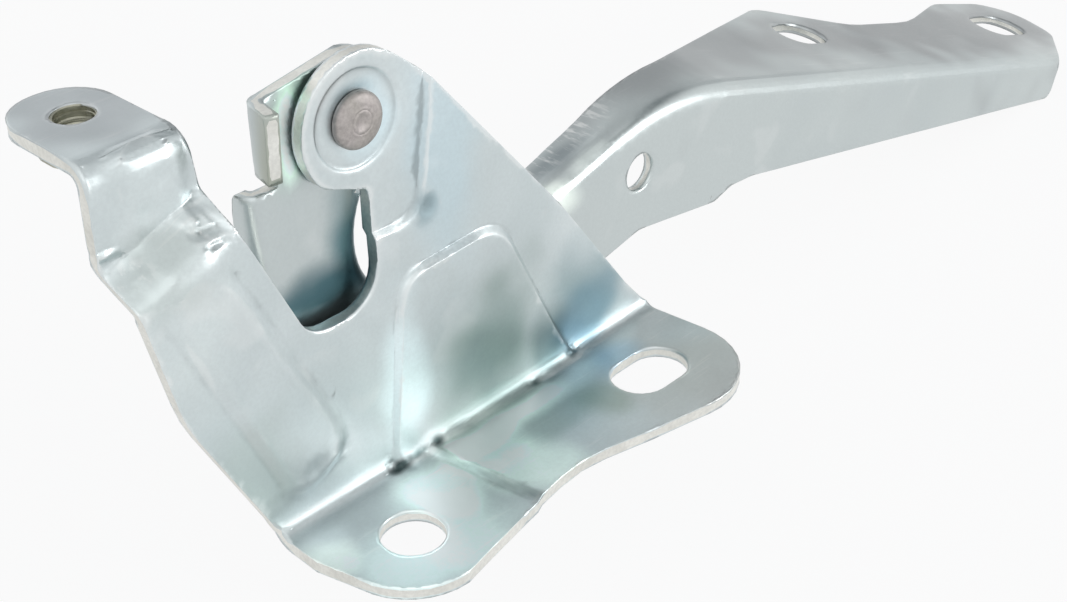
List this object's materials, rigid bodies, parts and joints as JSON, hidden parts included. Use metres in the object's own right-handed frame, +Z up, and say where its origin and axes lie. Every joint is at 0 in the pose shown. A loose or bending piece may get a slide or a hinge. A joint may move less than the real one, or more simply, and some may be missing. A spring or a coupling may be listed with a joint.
{
  "type": "bonnet hinge",
  "caption": "Pressed steel bonnet hinge: base bracket with raised tab and a long flanged gooseneck arm on one pivot rivet.",
  "frame": {"origin": "on the seating face under the base flange, between the round bolt hole and the fold of the bracket", "axes": "+X along the fold towards the bonnet end of the arm, +Y from the base flange towards the arm, +Z up from the seat towards the pivot; shown with the bonnet closed"},
  "size_m": [0.3296, 0.0726, 0.1016],
  "materials": {
    "bracket_zinc": "bright zinc plate",
    "arm_zinc": "bright zinc plate",
    "rivet_zinc": "dull pressed head",
    "bush_bronze": "plain",
    "front_washer_zinc": "zinc plate",
    "rear_washer_zinc": "zinc plate",
    "weld_nut_zinc": "dull zinc plate"
  },
  "bodies": {
    "bracket": {"body_bracket": "bracket_zinc", "pivot_rivet": "rivet_zinc", "front_washer": "front_washer_zinc", "rear_washer": "rear_washer_zinc", "weld_nut": "weld_nut_zinc"},
    "arm": {"bonnet_arm": "arm_zinc", "pivot_bush": "bush_bronze"}
  },
  "joints": [
    {"name": "bonnet_pivot", "type": "hinge", "parent": "bracket", "child": "arm", "pos_m": [0.0092, 0.0121, 0.0736], "axis": [0, -1, 0], "range_deg": [0, 79]}
  ]
}
